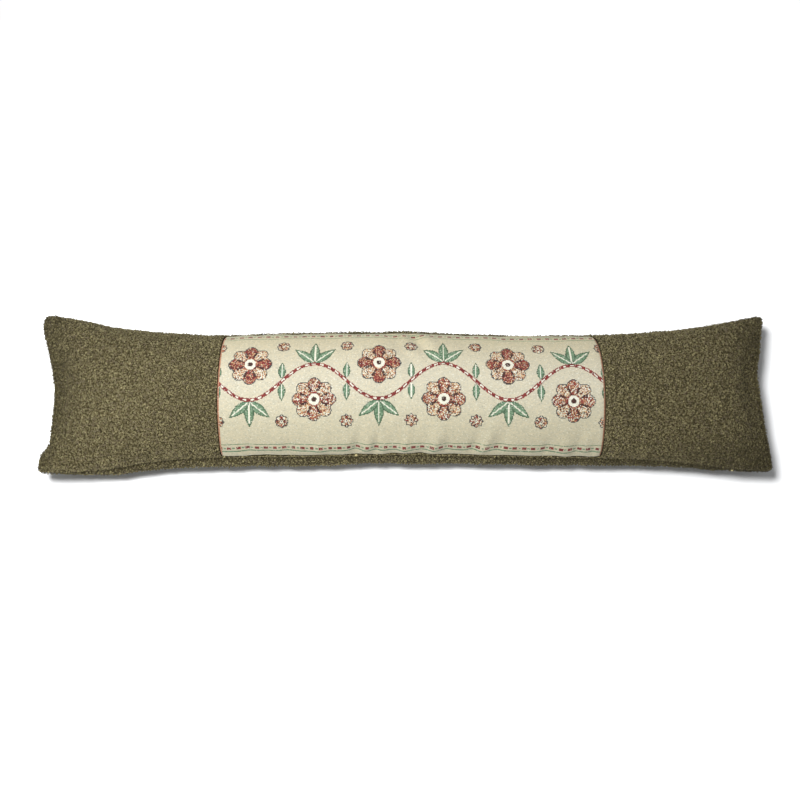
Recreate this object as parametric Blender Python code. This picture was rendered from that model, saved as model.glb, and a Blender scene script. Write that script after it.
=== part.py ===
"""Long cushion, lying on its back with its face up.

The cover is 90 by 20 cm when flat. Its back and its two face ends are thick boucle, and a woven
tapestry panel is let into the face between them. The filling crowns the face, draws the seams
in between the four corners, and the underside flattens on the surface that it rests on.
X runs along the cushion, Y across it towards its top edge, and Z up through its thickness.
"""

import math
from collections import namedtuple

import bmesh
import bpy
import numpy as np

MM = 0.001

# The cloth, seam to seam, and how the filled cushion stands
FACE_ACROSS = 198 * MM
HALF_LENGTH = 445 * MM
SEAM_HEIGHT = 34 * MM
EDGE_ROLL = 3 * MM
SEAM_GROOVE = 1.2 * MM
EAR_DROOP = 4 * MM
EAR_SHARPNESS = 6

# How the filling rounds the two ends, the underside and the long sides
FACE_END_ROUND = 45 * MM
BACK_END_ROUND = 75 * MM
BACK_SQUARENESS = 2.6
FLATTENED = 4 * MM

# The cloths let into the face
LIP = 3 * MM
WALL_LEAN = 0.4 * MM
EDGE_GAP = 0.5 * MM
SEWN_GAP = 0.3 * MM
BOUCLE_THICK = 3 * MM
TAPESTRY_THICK = 2 * MM
PANEL_LEFT = -221 * MM
PANEL_RIGHT = 237 * MM

# Grid of the modelled surfaces
CELLS_ACROSS = 18
END_CELLS = 13
END_CELL_GROWTH = 1.25
PANEL_CELLS = 30
SECTION_STEPS = 240
NORMAL_STEP = 1e-3
HALVINGS = 40
SHARP_ANGLE = math.radians(50)

Station = namedtuple("Station", "x top bottom top_sag bottom_sag")
# The two long seams in mm, as the filling draws them in between the corners, and how far the
# back bulges out past each of them
LONG_SEAMS = (
    Station(-445, 99.5, -98.5, 0.0, 0.0),
    Station(-400, 91.5, -98.0, 1.5, 2.0),
    Station(-360, 82.0, -94.5, 5.0, 6.5),
    Station(-320, 75.8, -88.0, 7.5, 9.5),
    Station(-270, 71.2, -82.4, 8.5, 11.5),
    Station(-200, 71.0, -80.4, 8.0, 12.5),
    Station(-100, 72.6, -79.0, 9.5, 13.0),
    Station(0, 73.4, -77.6, 9.5, 11.5),
    Station(100, 71.0, -79.0, 8.0, 10.5),
    Station(200, 69.2, -80.6, 8.5, 10.5),
    Station(270, 71.2, -82.0, 9.0, 9.5),
    Station(320, 75.6, -85.0, 7.5, 7.5),
    Station(360, 81.0, -89.5, 4.5, 4.5),
    Station(400, 88.6, -94.5, 1.5, 1.0),
    Station(445, 99.0, -97.0, 0.0, 0.0),
)

Pull = namedtuple("Pull", "across left right")
# How far the two end seams are drawn in, in mm, from the bottom corner (-1) to the top one (1)
END_SEAMS = (
    Pull(-1.00, 1.5, -1.0),
    Pull(-0.90, 2.4, 1.0),
    Pull(-0.80, 4.8, 2.0),
    Pull(-0.65, 14.5, 4.0),
    Pull(-0.50, 15.6, 6.2),
    Pull(-0.25, 16.5, 8.0),
    Pull(0.00, 16.6, 10.2),
    Pull(0.25, 12.6, 11.2),
    Pull(0.50, 6.9, 7.2),
    Pull(0.75, -0.5, 3.6),
    Pull(1.00, -3.8, -2.2),
)
PULL_FADES = 6

Bow = namedtuple("Bow", "seam top bottom")
# How far the panel's two end seams bow in x at the top and bottom of the face, in mm
PANEL_BOWS = (Bow(PANEL_LEFT, 1.2, 0.6), Bow(PANEL_RIGHT, -7.0, -0.8))
BOW_FADES = 70 * MM

Ear = namedtuple("Ear", "end side radius")
# Radius in mm to which each corner is turned
EARS = (Ear(-1, 1, 15), Ear(-1, -1, 7), Ear(1, 1, 14), Ear(1, -1, 9))

Fold = namedtuple("Fold", "x y length width lean depth")
# Soft troughs in the face, in mm on the flat cloth and degrees from X towards Y
FOLDS = (
    Fold(-427, 28, 30, 10, 84, 4.2),
    Fold(-429, -26, 24, 9, 95, 3.6),
    Fold(-408, -64, 26, 7, 140, 2.0),
    Fold(428, 14, 44, 11, 90, 3.8),
    Fold(421, 74, 20, 8, 60, 2.6),
    Fold(400, -82, 22, 7, 35, 2.0),
    Fold(-14, -84, 24, 8, 96, 1.4),
    Fold(22, -80, 27, 8, 84, 1.6),
    Fold(10, 70, 26, 7, 112, 1.2),
)

Cloth = namedtuple("Cloth", "name x_lines gaps thick material")

Paint = namedtuple("Paint", "colour roughness")
BOUCLE = Paint((0.150, 0.132, 0.072, 1.0), 0.95)
TAPESTRY = Paint((0.560, 0.530, 0.380, 1.0), 0.85)


def clear_scene():
    for obj in list(bpy.data.objects):
        bpy.data.objects.remove(obj)


def cloth_material(name, paint):
    material = bpy.data.materials.new(name)
    material.use_nodes = True
    shader = material.node_tree.nodes["Principled BSDF"]
    shader.inputs["Base Color"].default_value = paint.colour
    shader.inputs["Roughness"].default_value = paint.roughness
    shader.inputs["Metallic"].default_value = 0.0
    return material


def curve_through(at, values, where):
    """A smooth curve through the points (at, values), read at where."""
    at, values = np.asarray(at, float), np.asarray(values, float)
    slopes = np.gradient(values, at)
    where = np.clip(where, at[0], at[-1])
    i = np.clip(np.searchsorted(at, where, side="right") - 1, 0, len(at) - 2)
    span = at[i + 1] - at[i]
    t = (where - at[i]) / span
    return (
        values[i] * (2 * t**3 - 3 * t**2 + 1)
        + slopes[i] * span * (t**3 - 2 * t**2 + t)
        + values[i + 1] * (3 * t**2 - 2 * t**3)
        + slopes[i + 1] * span * (t**3 - t**2)
    )


def table_curve(rows, key, column, where):
    """One column of a table in mm, as a smooth curve over its key column, in metres."""
    at = [getattr(row, key) for row in rows]
    values = [getattr(row, column) for row in rows]
    return curve_through(at, values, where) * MM


def along_seams(x, *columns):
    """Columns of the long seams' table at each x, in metres."""
    return [table_curve(LONG_SEAMS, "x", column, np.asarray(x) / MM) for column in columns]


def half_oval_length(half_width, rise):
    """Length over the top of a half oval, by Ramanujan's formula."""
    a, b = half_width, rise
    return math.pi / 2 * (3 * (a + b) - np.sqrt((3 * a + b) * (a + 3 * b)))


def crown_over(half_width):
    """The rise at which the cloth's full width just spans the seams, found by halving."""
    low, high = np.zeros_like(half_width), np.full_like(half_width, FACE_ACROSS)
    for _ in range(HALVINGS):
        middle = (low + high) / 2
        slack = half_oval_length(half_width, middle) < FACE_ACROSS
        low, high = np.where(slack, middle, low), np.where(slack, high, middle)
    return low


def end_rounding(x, length):
    """0 at an end seam and 1 from length inwards, along a quarter circle."""
    inward = np.clip((HALF_LENGTH - np.abs(x)) / length, 0.0, 1.0)
    return np.sqrt(1.0 - (1.0 - inward) ** 2)


def face_section(x):
    """(y, z) of the face from seam to seam at each x, in SECTION_STEPS steps."""
    top, bottom = along_seams(x, "top", "bottom")
    middle, half = (top + bottom) / 2, (top - bottom) / 2
    rise = crown_over(half) * end_rounding(x, FACE_END_ROUND)
    turn = np.linspace(-math.pi / 2, math.pi / 2, SECTION_STEPS)
    y = middle[:, None] + half[:, None] * np.sin(turn)
    z = SEAM_HEIGHT + EDGE_ROLL + rise[:, None] * np.cos(turn)
    return y, z


def back_section(x):
    """(y, z) of the underside from seam to seam at each x: sagging sides and a flat foot."""
    top, bottom, top_sag, bottom_sag = along_seams(x, "top", "bottom", "top_sag", "bottom_sag")
    middle, half = (top + bottom) / 2, (top - bottom) / 2
    turn = np.linspace(-math.pi / 2, math.pi / 2, SECTION_STEPS)
    power = 2.0 / BACK_SQUARENESS
    outward = np.sign(turn) * np.abs(np.sin(turn)) ** power
    down = np.abs(np.cos(turn)) ** power
    sag = np.where(turn > 0, top_sag[:, None], bottom_sag[:, None])
    most_sag_half_way = 4.0 * down * (1.0 - down)
    reach = half[:, None] + sag * most_sag_half_way
    edge = SEAM_HEIGHT - EDGE_ROLL
    depth = (edge + FLATTENED) * end_rounding(x, BACK_END_ROUND)
    y = middle[:, None] + reach * outward
    z = np.maximum(edge - depth[:, None] * down, 0.0)
    return y, z


def spread_along(y, z, shares):
    """The sections read again at equal shares of their own length, from -1 to 1."""
    steps = np.hypot(np.diff(y, axis=1), np.diff(z, axis=1))
    along = np.concatenate([np.zeros((len(y), 1)), np.cumsum(steps, axis=1)], axis=1)
    wanted = (np.asarray(shares) + 1) / 2
    out = np.empty((len(y), len(wanted), 2))
    for i, length in enumerate(along):
        out[i, :, 0] = np.interp(wanted * length[-1], length, y[i])
        out[i, :, 1] = np.interp(wanted * length[-1], length, z[i])
    return out


def drawn_in(x, shares):
    """X after the pull of the end seams, which fades inwards, and the bow of the panel's."""
    left = table_curve(END_SEAMS, "across", "left", shares)
    right = table_curve(END_SEAMS, "across", "right", shares)
    near = (np.abs(x) / HALF_LENGTH) ** PULL_FADES
    pull = np.where(x[:, None] < 0, left[None, :], -right[None, :])
    drawn = x[:, None] + pull * near[:, None]
    for bow in PANEL_BOWS:
        here = np.exp(-(((x - bow.seam) / BOW_FADES) ** 2))
        most = np.where(np.asarray(shares) > 0, bow.top, bow.bottom) * MM
        drawn += here[:, None] * (most * np.asarray(shares) ** 2)[None, :]
    return drawn


def round_corners(points, x, shares):
    """Moves the points near each corner in onto its rounded ear."""
    from_end = HALF_LENGTH - np.abs(x)[:, None]
    from_side = (1.0 - np.abs(np.asarray(shares)))[None, :] * FACE_ACROSS / 2
    for ear in EARS:
        radius = ear.radius * MM
        here = (np.sign(x)[:, None] == ear.end) & (np.sign(shares)[None, :] == ear.side)
        p = np.clip(1.0 - from_end / radius, 0.0, 1.0) * here
        q = np.clip(1.0 - from_side / radius, 0.0, 1.0) * here
        points[..., 0] -= ear.end * radius * p * (1.0 - np.sqrt(1.0 - q**2 / 2))
        points[..., 1] -= ear.side * radius * q * (1.0 - np.sqrt(1.0 - p**2 / 2))


def sheet(section, x, shares):
    """Points of the face or the back at each x and each share across, as [x, share, xyz]."""
    points = np.empty((len(x), len(shares), 3))
    points[..., 1:] = spread_along(*section(x), shares)
    points[..., 0] = drawn_in(x, shares)
    round_corners(points, x, shares)
    near_ear = np.abs(x / HALF_LENGTH)[:, None] * np.abs(np.asarray(shares))[None, :]
    points[..., 2] -= EAR_DROOP * near_ear**EAR_SHARPNESS
    return points


def fold_depth(x, shares):
    """How deep the soft folds press into the face at each point."""
    flat_x = x[:, None]
    flat_y = np.asarray(shares)[None, :] * FACE_ACROSS / 2
    depth = np.zeros((len(x), len(shares)))
    for fold in FOLDS:
        lean = math.radians(fold.lean)
        dx, dy = flat_x - fold.x * MM, flat_y - fold.y * MM
        along = dx * math.cos(lean) + dy * math.sin(lean)
        beside = dy * math.cos(lean) - dx * math.sin(lean)
        shape = (along / (fold.length * MM)) ** 2 + (beside / (fold.width * MM)) ** 2
        depth += fold.depth * MM * np.exp(-shape)
    return depth


def face_normals(x, shares):
    """Unit normals of the face, from points a small step away on each side."""
    step = NORMAL_STEP
    x_low, x_high = np.maximum(x - step, -HALF_LENGTH), np.minimum(x + step, HALF_LENGTH)
    low, high = np.maximum(shares - step, -1.0), np.minimum(shares + step, 1.0)
    along = sheet(face_section, x_high, shares) - sheet(face_section, x_low, shares)
    across = sheet(face_section, x, high) - sheet(face_section, x, low)
    normals = np.cross(along, across)
    return normals / np.linalg.norm(normals, axis=2, keepdims=True)


def face_points(x, shares, below=0.0):
    """Points of the finished face, or of the surface that far below it."""
    lowered = fold_depth(x, shares) + below
    return sheet(face_section, x, shares) - face_normals(x, shares) * lowered[..., None]


def rim_of(rows, columns):
    """Indices round the edge of a grid, anticlockwise seen from its front."""
    bottom = [i * columns for i in range(rows)]
    right = [(rows - 1) * columns + j for j in range(1, columns)]
    top = [i * columns + columns - 1 for i in range(rows - 2, -1, -1)]
    left = [j for j in range(columns - 2, 0, -1)]
    return bottom + right + top + left


def grid_faces(verts, rows, columns, facing_up):
    """Two triangles for each cell, all split the same way so that stacked cloths stay parallel."""
    faces = []
    for i in range(rows - 1):
        for j in range(columns - 1):
            a, b = verts[i * columns + j], verts[(i + 1) * columns + j]
            c, d = verts[(i + 1) * columns + j + 1], verts[i * columns + j + 1]
            faces += [(a, b, c), (a, c, d)] if facing_up else [(a, c, b), (a, d, c)]
    return faces


def closed_solid(name, upper, lower, material, between=()):
    """A solid of two equal grids, upper over lower, joined round their rims through the rings between."""
    rows, columns = upper.shape[:2]
    mesh = bmesh.new()
    top = [mesh.verts.new(p) for p in upper.reshape(-1, 3)]
    foot = [mesh.verts.new(p) for p in lower.reshape(-1, 3)]
    faces = grid_faces(top, rows, columns, True) + grid_faces(foot, rows, columns, False)
    rim = rim_of(rows, columns)
    rings = [[foot[i] for i in rim]]
    rings += [[mesh.verts.new(p) for p in ring] for ring in between]
    rings += [[top[i] for i in rim]]
    for under, over in zip(rings, rings[1:]):
        for i in range(len(rim)):
            k = (i + 1) % len(rim)
            faces += [(under[i], under[k], over[k]), (under[i], over[k], over[i])]
    for face in faces:
        mesh.faces.new(face)
    data = bpy.data.meshes.new(name)
    mesh.to_mesh(data)
    mesh.free()
    data.materials.append(material)
    data.shade_smooth()
    data.set_sharp_from_angle(angle=SHARP_ANGLE)
    obj = bpy.data.objects.new(name, data)
    bpy.context.scene.collection.objects.link(obj)
    return obj


def end_lines(seam, end):
    """X of the grid lines from an end's lip in to the panel's seam, closest together at the lip."""
    lip = math.copysign(HALF_LENGTH - LIP, end)
    return lip + (seam - lip) * np.linspace(0.0, 1.0, END_CELLS + 1) ** END_CELL_GROWTH


def inner_lines_across():
    wall = 1.0 - LIP / (FACE_ACROSS / 2)
    return np.linspace(-wall, wall, CELLS_ACROSS + 1)


def with_lip(lines, lean, rim):
    """Grid lines of the recess, with a wall line just outside it and the rim line at each side."""
    wall = lines[-1] + lean
    return np.concatenate([[-rim, lines[0] - lean], lines, [wall, rim]])


def groove_ring(face_edge, back_edge):
    """The sewn line round the cushion, sunk a little between the two rolled edges."""
    middle = (face_edge + back_edge) / 2
    run = np.roll(middle, -1, axis=0) - np.roll(middle, 1, axis=0)
    outward = np.stack([run[:, 1], -run[:, 0], np.zeros(len(run))], axis=1)
    outward /= np.linalg.norm(outward, axis=1, keepdims=True)
    return middle - outward * SEAM_GROOVE


def cushion_surfaces(x_inner, across_inner):
    """Face with its recess, back, and the sewn ring between them."""
    half_across = FACE_ACROSS / 2
    x = with_lip(x_inner, WALL_LEAN, HALF_LENGTH)
    across = with_lip(across_inner, WALL_LEAN / half_across, 1.0)
    recess = np.zeros((len(x), len(across)))
    recess[2:-2, 2:-2] = BOUCLE_THICK + SEWN_GAP
    face = face_points(x, across, recess)
    back = sheet(back_section, x, across)
    rim = rim_of(len(x), len(across))
    ring = groove_ring(face.reshape(-1, 3)[rim], back.reshape(-1, 3)[rim])
    return face, back, ring


def cloth_lines(lines, low_gap, high_gap):
    """Grid lines of a cloth that stops short of its neighbours by the gap at each side."""
    lines = np.array(lines, float)
    lines[0] += low_gap
    lines[-1] -= high_gap
    return lines


def let_in(cloth, across_inner, shift):
    """A cloth of the face, seated in the recess just above the filled body."""
    x = cloth_lines(cloth.x_lines, *cloth.gaps)
    across = cloth_lines(across_inner, *[EDGE_GAP / (FACE_ACROSS / 2)] * 2)
    upper = face_points(x, across, BOUCLE_THICK - cloth.thick) + shift
    lower = face_points(x, across, BOUCLE_THICK) + shift
    return closed_solid(cloth.name, upper, lower, cloth.material)


def main():
    clear_scene()
    boucle = cloth_material("boucle", BOUCLE)
    tapestry = cloth_material("tapestry", TAPESTRY)

    left_lines = end_lines(PANEL_LEFT, -1)
    right_lines = end_lines(PANEL_RIGHT, 1)[::-1]
    panel_lines = np.linspace(PANEL_LEFT, PANEL_RIGHT, PANEL_CELLS + 1)
    x_inner = np.concatenate([left_lines, panel_lines[1:-1], right_lines])
    across = inner_lines_across()

    face, back, ring = cushion_surfaces(x_inner, across)
    everything = np.concatenate([face.reshape(-1, 3), back.reshape(-1, 3), ring])
    low, high = everything.min(axis=0), everything.max(axis=0)
    shift = np.array([-(low[0] + high[0]) / 2, -(low[1] + high[1]) / 2, -low[2]])

    closed_solid("cushion", face + shift, back + shift, boucle, between=[ring + shift])
    cloths = (
        Cloth("end_left", left_lines, (EDGE_GAP, SEWN_GAP), BOUCLE_THICK, boucle),
        Cloth("end_right", right_lines, (SEWN_GAP, EDGE_GAP), BOUCLE_THICK, boucle),
        Cloth("tapestry_panel", panel_lines, (SEWN_GAP, SEWN_GAP), TAPESTRY_THICK, tapestry),
    )
    for cloth in cloths:
        let_in(cloth, across, shift)


main()
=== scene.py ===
"""Looks of the long cushion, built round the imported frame.

The back and the two ends are looped woollen cloth, so thousands of yarn curls are sewn over a
plain ground. The panel is a woven tapestry, made of cells of coloured thread about 1 mm across.
Every surface is worked out on the cushion's own form: its drawn-in seams, crown, sag and folds.
Lengths are in metres unless a name ends in _MM or a table says otherwise.
"""

import math
from collections import namedtuple

import bpy
import numpy as np
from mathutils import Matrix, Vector


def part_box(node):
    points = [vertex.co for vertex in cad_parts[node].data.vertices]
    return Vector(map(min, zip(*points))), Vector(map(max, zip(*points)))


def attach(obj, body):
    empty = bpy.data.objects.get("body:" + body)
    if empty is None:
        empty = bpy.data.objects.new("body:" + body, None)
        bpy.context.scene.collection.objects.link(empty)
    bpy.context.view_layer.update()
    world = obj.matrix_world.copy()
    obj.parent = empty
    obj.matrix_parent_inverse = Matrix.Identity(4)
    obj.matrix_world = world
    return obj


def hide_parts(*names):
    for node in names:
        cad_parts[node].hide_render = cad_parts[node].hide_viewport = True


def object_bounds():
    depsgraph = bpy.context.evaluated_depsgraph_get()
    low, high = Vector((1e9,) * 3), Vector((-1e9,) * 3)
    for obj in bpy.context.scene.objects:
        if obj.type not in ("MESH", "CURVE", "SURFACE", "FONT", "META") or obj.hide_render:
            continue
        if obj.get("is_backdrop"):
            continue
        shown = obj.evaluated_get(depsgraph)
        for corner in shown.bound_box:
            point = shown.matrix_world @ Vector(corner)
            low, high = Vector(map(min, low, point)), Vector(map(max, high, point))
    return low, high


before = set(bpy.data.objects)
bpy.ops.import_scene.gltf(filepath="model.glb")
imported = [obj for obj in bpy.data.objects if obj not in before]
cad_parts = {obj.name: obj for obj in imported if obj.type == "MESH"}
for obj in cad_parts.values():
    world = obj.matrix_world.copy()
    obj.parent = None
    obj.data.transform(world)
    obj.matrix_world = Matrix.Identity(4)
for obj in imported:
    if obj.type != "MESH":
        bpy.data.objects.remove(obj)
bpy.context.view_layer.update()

MM = 0.001


def table(fields, *rows):
    """Rows of values that are read by the names of their fields."""
    row_kind = namedtuple("Row", fields)
    return [row_kind(*row) for row in rows]


# The cloth, seam to seam, and how the filled cushion stands
FACE_ACROSS = 198 * MM
HALF_ACROSS = FACE_ACROSS / 2
HALF_LENGTH = 445 * MM
SEAM_HEIGHT = 34 * MM
EDGE_ROLL = 3 * MM
SEAM_GROOVE = 0.4 * MM
EAR_DROOP = 4 * MM
EAR_SHARPNESS = 6

# How the filling rounds the two ends, the underside and the long sides
FACE_END_ROUND = 45 * MM
BACK_END_ROUND = 75 * MM
BACK_SQUARENESS = 2.6
FLATTENED = 4 * MM

# The cloths let into the face
LIP = 3 * MM
END_X = HALF_LENGTH - LIP
WALL_LEAN = 0.4 * MM
EDGE_GAP = 0.5 * MM
SEWN_GAP = 0.3 * MM
BOUCLE_THICK = 3 * MM
TAPESTRY_THICK = 2 * MM
PANEL_LEFT = -221 * MM
PANEL_RIGHT = 237 * MM
PANEL_LENGTH = PANEL_RIGHT - PANEL_LEFT

SECTION_TURNS = np.linspace(-math.pi / 2, math.pi / 2, 240)
NORMAL_STEP = 1e-3
HALVINGS = 40

# The two long seams in mm, as the filling draws them in between the corners, and how far the
# back bulges out past each of them
LONG_SEAMS = table(
    "x top bottom top_sag bottom_sag",
    (-445, 99.5, -98.5, 0.0, 0.0),
    (-400, 91.5, -98.0, 1.5, 2.0),
    (-360, 82.0, -94.5, 5.0, 6.5),
    (-320, 75.8, -88.0, 7.5, 9.5),
    (-270, 71.2, -82.4, 8.5, 11.5),
    (-200, 71.0, -80.4, 8.0, 12.5),
    (-100, 72.6, -79.0, 9.5, 13.0),
    (0, 73.4, -77.6, 9.5, 11.5),
    (100, 71.0, -79.0, 8.0, 10.5),
    (200, 69.2, -80.6, 8.5, 10.5),
    (270, 71.2, -82.0, 9.0, 9.5),
    (320, 75.6, -85.0, 7.5, 7.5),
    (360, 81.0, -89.5, 4.5, 4.5),
    (400, 88.6, -94.5, 1.5, 1.0),
    (445, 99.0, -97.0, 0.0, 0.0),
)

# How far the two end seams are drawn in, in mm, from the bottom corner (-1) to the top one (1)
END_SEAMS = table(
    "across left right",
    (-1.00, 1.5, -1.0),
    (-0.90, 2.4, 1.0),
    (-0.80, 4.8, 2.0),
    (-0.65, 14.5, 4.0),
    (-0.50, 15.6, 6.2),
    (-0.25, 16.5, 8.0),
    (0.00, 16.6, 10.2),
    (0.25, 12.6, 11.2),
    (0.50, 6.9, 7.2),
    (0.75, -0.5, 3.6),
    (1.00, -3.8, -2.2),
)
PULL_FADES = 6

# How far the panel's two end seams bow in x at the top and bottom of the face, in mm
PANEL_BOWS = table("seam top bottom", (PANEL_LEFT, 1.2, 0.6), (PANEL_RIGHT, -7.0, -0.8))
BOW_FADES = 70 * MM

# Radius in mm to which each corner is turned
EARS = table("end side radius", (-1, 1, 15), (-1, -1, 7), (1, 1, 14), (1, -1, 9))

# Soft troughs in the face, or ridges where the depth is below 0, in mm on the flat cloth and
# degrees from X towards Y. The first ones are those of the solids.
FOLDS = table(
    "x y length width lean depth",
    (-427, 28, 30, 10, 84, 4.2),
    (-429, -26, 24, 9, 95, 3.6),
    (-408, -64, 26, 7, 140, 2.0),
    (428, 14, 44, 11, 90, 3.8),
    (421, 74, 20, 8, 60, 2.6),
    (400, -82, 22, 7, 35, 2.0),
    (-14, -84, 24, 8, 96, 1.4),
    (22, -80, 27, 8, 84, 1.6),
    (10, 70, 26, 7, 112, 1.2),
)
FINE_FOLDS = table(
    "x y length width lean depth",
    (-101, -80, 24, 8, 76, -2.2),
    (-58, -80, 25, 6, 80, 2.4),
    (-46, -82, 20, 6, 78, -1.8),
    (-34, -80, 22, 5, 82, 2.2),
    (1, -78, 26, 6, 80, -2.2),
    (36, -80, 26, 6, 76, -2.2),
    (50, -84, 18, 6, 82, 1.8),
    (81, -80, 24, 6, 74, 2.2),
    (95, -78, 28, 6, 70, -2.4),
    (111, -82, 22, 7, 72, 2.0),
    (169, -82, 20, 6, 80, 2.0),
    (187, -80, 18, 7, 80, -1.4),
    (205, -82, 22, 6, 82, 2.2),
    (225, -84, 18, 5, 86, 1.8),
    (-140, -84, 18, 7, 84, 1.4),
    (-186, -84, 16, 7, 88, 1.2),
    (17, 64, 28, 7, 112, 2.2),
    (31, 62, 26, 8, 114, -2.0),
    (-16, 84, 14, 8, 96, 1.6),
    (140, 86, 12, 9, 84, 1.2),
)

# Uneven filling, and the gathers that the seams pull up, which fade near the seams and foot
LUMP_SIZE = 62 * MM
LUMP_HEIGHT = 1.3 * MM
GATHER_SIZE = 15 * MM
GATHER_HEIGHT = 1.1 * MM
GATHER_REACH = 20 * MM
EVEN_NEAR_SEAM = 8 * MM
EVEN_NEAR_FOOT = 14 * MM
NOISE_SPAN = (1.2, 0.5)
OPPOSITE_SEAM = 0.1

# How the folds fade towards the seams, and how the cloths turn down into theirs
FOLD_FADE = 8 * MM
SEAM_DIP = 0.7 * MM
SEAM_DIP_REACH = 4 * MM
PANEL_TURN = 1.6 * MM
END_TURN = 0.2 * MM
EDGE_TURN_REACH = 0.7 * MM

# The simulated cover: its cell, the filling's pressure, how much longer the cloth is than its
# seams, its stiffness, how long it settles, the most that a point may stand out, the sizes in
# cells between which its dents are kept, and the height below which it is held as the foot
COVER_CELL = 6.5 * MM
COVER_PRESSURE = 4.0
COVER_EXTRA = 0.005
COVER_BENDING = 1.5
COVER_FRAMES = 20
COVER_CAP = 1.5 * MM
COVER_FINEST = 0.8
COVER_WIDEST = 5.0
COVER_FOOT = 1 * MM

# Sizes of the modelled cells, and how far the woven ones stand in and out
BODY_CELL = 4.5 * MM
GROUND_CELL = 2.0 * MM
WEAVE_CELL = 1.05 * MM
WEAVE_RELIEF = 0.03 * MM

# Seeds of the random draws
FACE_SEED, BACK_SEED, PANEL_SEED, EDGE_SEED = 11, 31, 5, 23

# Places in the bake maps, from 0 to 1
FACE_MAP = ((0, 0.76), (1, 1))
BACK_MAP = ((0, 0.08), (1, 0.74))
EDGE_MAP = ((0, 0), (0.06, 1))
PANEL_MAP_MARGIN = 0.01
CURL_MAP_START, CURL_MAP_SPAN = 0.15, 0.7

# Where the yarn curls are sewn, and how far apart
END_SPACING = 2.6 * MM
PANEL_CLEAR = SEWN_GAP + 0.7 * MM
LIP_SPACING = 3.3 * MM
LIP_ROWS = (0.2 * MM, 0.9 * MM, 2.2 * MM)
RING_SPACING = 1.9 * MM
RING_RISE = 2.6 * MM
BACK_END_SPACING = 3.0 * MM
BACK_END_ROWS = (0.0, 0.35 * MM, 0.75 * MM, 1.15 * MM, 1.9 * MM)
BACK_ACROSS = 240 * MM
BACK_REACH = (HALF_LENGTH - 1 * MM, HALF_ACROSS * 0.99)
BACK_SPACING = 3.6 * MM
FOOT_SPACING = 6.6 * MM
UNDERSIDE_BELOW = 5 * MM
UNDERSIDE_RISE = 1.2 * MM
CURL_SINK = 0.7 * MM
CURL_STRAY = 0.32

# The two ends: their x, the gaps at their edges, how far in their curls start, and their seeds
ENDS = table(
    "node x_ends gaps clear seed",
    ("end_left", (-END_X, PANEL_LEFT), (EDGE_GAP, SEWN_GAP), (EDGE_GAP, PANEL_CLEAR), 21),
    ("end_right", (PANEL_RIGHT, END_X), (SEWN_GAP, EDGE_GAP), (PANEL_CLEAR, EDGE_GAP), 22),
)

# One curl: its sizes and turns as ranges, and the steps and sides of its tube
CURL_RADIUS = (0.75 * MM, 1.25 * MM)
YARN_RADIUS = (0.45 * MM, 0.70 * MM)
CURL_LEAN = (0.1, 0.9)
CURL_TURN = (4.4, 5.9)
CURL_SQUEEZE = (0.7, 1.0)
CURL_LIFT = (0.1 * MM, 1.0 * MM)
LEANING_LIFT = 0.5
CURL_END_DIP = 0.7 * MM
PRESSED_SPREAD = 0.5 * MM
CURL_STEPS = 4
CURL_SIDES = 3
SECOND_PLY = 0.35
YARN_BRIGHTNESS = (0.82, 1.16)

# The curls' scale on the foot and the rolled edge; on its rim over the panel their scale and
# painted shade; and the painted shade on the lower side's sewn line and its flank, from one x to
# another
FOOT_SCALE = 1.4
LIP_SCALE = 0.95
RIM_SCALE = 0.7
RIM_PAINTED_SHADE = 0.74
UNDER_PAINTED_SHADE = 0.72
FLANK_X = (-150 * MM, 220 * MM)
FLANK_PAINTED_SHADES = (0.95, 0.72)

# Painted shade on the pile: how much darker its colour is made near the ends, the upper edge and
# the lower right corner, or painted light where the share is below 0, in mm on the flat cloth
PAINTED_SHADES = table(
    "x y reach_x reach_y share",
    (-450, 0, 28, 400, 0.44),
    (-425, 15, 28, 55, 0.26),
    (450, 0, 40, 400, 0.38),
    (428, 68, 16, 24, 0.20),
    (0, 100, 900, 18, 0.18),
    (400, -96, 90, 34, 0.42),
    (8, -97, 225, 9, -0.16),
    (-290, 86, 60, 26, 0.10),
    (-335, 0, 60, 50, -0.08),
)

# Curls that stand for the pale ends of sewing thread at the lower edge, in mm
THREAD_ENDS = table(
    "x y z brighter scale", (-56.6, -77.5, 38, 3.4, 1.15), (395, -124, 25, 8.0, 1.5)
)

# The panel's pattern in mm: the vine, its leaves' length and width, the rosettes' radii, and the
# borders' stripes by their distance from the middle and the part of each pitch that is woven
VINE_LENGTH_MM = 152.7
VINE_HEIGHT_MM = 22.0
VINE_RISE_MM = 7.0
VINE_HALVES = range(-4, 5)
STEM_LEAF, CREST_LEAF = (21, 9), (31, 12)
CREST_ANGLES = (38, 90, 142)
SMALL_ROSETTE, LARGE_ROSETTE = 7, 25
SMALL_ROSETTE_RISE = 48
ROSETTE_HEART = ((0.36, "berry"), (0.27, "cream"), (0.12, "brown"))
EDGE_THREADS_MM = 2.4
# The cream band along the panel's lower edge is a painted highlight where the turned edge catches
# light
LOWER_EDGE_HIGHLIGHT_MM = 6.5
DASH_PITCH_MM = 11
STRIPES = table(
    "middle half_width after before thread",
    (83, 0.7, -1, 12, "green"),
    (72, 0.7, -1, 12, "green"),
    (77.5, 2.1, -1, 5, "brick"),
    (77.5, 0.9, 6.5, 9.5, "green"),
)
LIGHT_STRAYS, DARK_STRAYS = 0.05, 0.03
LIGHTER, DARKER = 0.5, 0.25
THREAD_BRIGHTNESS = (0.97, 1.03)

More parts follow.
